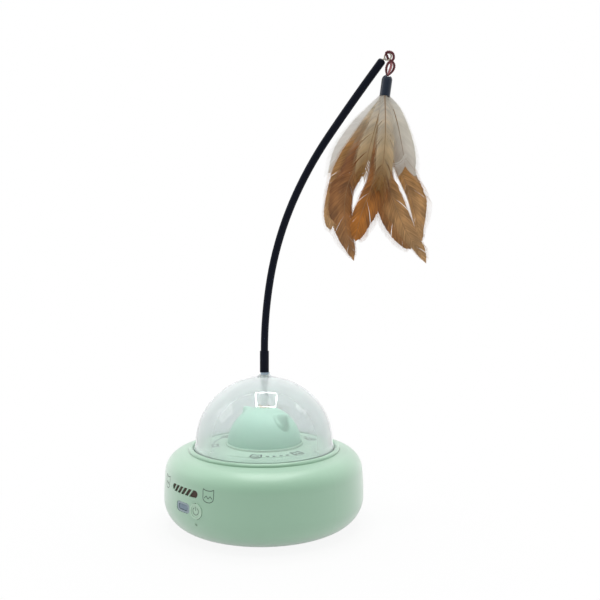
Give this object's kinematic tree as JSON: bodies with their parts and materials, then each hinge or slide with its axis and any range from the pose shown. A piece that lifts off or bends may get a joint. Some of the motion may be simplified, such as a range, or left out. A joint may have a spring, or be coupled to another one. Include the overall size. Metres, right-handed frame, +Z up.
{
  "type": "electronic cat toy",
  "caption": "Round powered base with a clear dome and a curved wand that turns on a spindle and dangles a feather teaser for a cat to chase.",
  "frame": {"origin": "middle of the anti-slip ring's lower face, on the surface that the toy stands on", "axes": "+Z up along the spindle, -Y out of the control panel, +X to the right of the panel"},
  "size_m": [0.1665, 0.13, 0.2939],
  "materials": {
    "mint_abs": "moulded satin",
    "pale_mint_abs": "moulded satin",
    "teal_abs": "moulded satin",
    "clear_styrene": "clear polished",
    "grey_bezel": "satin",
    "silicone_pad": "matte",
    "foam": "open cell",
    "bright_metal": "nickel plated",
    "plain_steel": "plain",
    "bronze_bush": "sintered",
    "black_switch": "moulded",
    "clear_pipe": "clear",
    "brown_mesh": "woven",
    "green_board": "solder mask",
    "white_abs": "moulded",
    "white_acetal": "moulded",
    "cell_wrap": "foil pouch",
    "black_wand_plastic": "satin",
    "black_cap_plastic": "gloss",
    "red_cord": "twisted cord",
    "tan_plume": "feather vane",
    "cream_plume": "downy feather"
  },
  "bodies": {
    "base": {"base_shell": "mint_abs", "bottom_cover": "mint_abs", "collar_ring": "mint_abs", "deck": "pale_mint_abs", "cover_plinth": "pale_mint_abs", "cat_cover": "teal_abs", "clear_dome": "clear_styrene", "port_bezel": "grey_bezel", "anti_slip_ring": "silicone_pad", "speaker_gasket": "foam", "usb_port": "bright_metal", "cover_screws": "plain_steel", "board_screws": "plain_steel", "bracket_screws": "plain_steel", "ballast_plate": "plain_steel", "gear_motor_can": "plain_steel", "lower_bush": "bronze_bush", "upper_bush": "bronze_bush", "usb_tongue": "black_switch", "tact_switch": "black_switch", "speaker": "black_switch", "led_pipe": "clear_pipe", "status_led": "clear_pipe", "sound_mesh": "brown_mesh", "main_board": "green_board", "battery_holder": "white_abs", "motor_bracket": "white_abs", "gear_motor_gearbox": "white_abs", "battery_cell": "cell_wrap"},
    "power_button": {"power_button": "mint_abs", "switch_plunger": "black_switch"},
    "spindle": {"spindle": "plain_steel", "drive_gear": "white_acetal", "retaining_clip": "plain_steel", "wand_socket": "white_abs"},
    "pinion": {"motor_shaft": "plain_steel", "pinion": "white_acetal"},
    "wand": {"wand_pin": "plain_steel", "wand_ferrule": "bright_metal", "wand_sleeve": "black_wand_plastic", "wand_tube": "black_wand_plastic", "wand_core": "plain_steel", "wand_end_cap": "black_wand_plastic", "tip_eye": "bright_metal"},
    "hang_loop": {"hang_loop": "red_cord"},
    "teaser": {"teaser_cap": "black_cap_plastic", "quill_plug": "black_cap_plastic", "tan_feather_one": "tan_plume", "tan_feather_two": "tan_plume", "tan_feather_three": "tan_plume", "tan_feather_four": "tan_plume", "tan_feather_five": "tan_plume", "tan_feather_six": "tan_plume", "cream_feather_one": "cream_plume", "cream_feather_two": "cream_plume", "cream_feather_three": "cream_plume", "cream_feather_four": "cream_plume"}
  },
  "joints": [
    {"name": "spindle_spin", "type": "hinge", "parent": "base", "child": "spindle", "pos_m": [0, 0, 0.06], "axis": [0, 0, 1], "continuous": true},
    {"name": "pinion_spin", "type": "hinge", "parent": "base", "child": "pinion", "pos_m": [0, -0.0168, 0.04], "axis": [0, 0, 1], "continuous": true},
    {"name": "wand_pull", "type": "slide", "parent": "spindle", "child": "wand", "axis": [0, 0, 1], "range_m": [0, 0.012]},
    {"name": "loop_swing", "type": "hinge", "parent": "wand", "child": "hang_loop", "pos_m": [0.07939, 0.02734, 0.29129], "axis": [-0.3256, 0.9455, 0], "range_deg": [-50, 5]},
    {"name": "teaser_swing", "type": "hinge", "parent": "hang_loop", "child": "teaser", "pos_m": [0.07939, 0.02734, 0.28069], "axis": [0.8988, -0.4384, 0], "range_deg": [-20, 20]},
    {"name": "power_press", "type": "slide", "parent": "base", "child": "power_button", "axis": [0, 1, 0], "range_m": [0, 0.0005], "stiffness_N_per_m": 1500}
  ],
  "couplings": [
    {"joint": "pinion_spin", "follows": "spindle_spin", "ratio": -3}
  ]
}
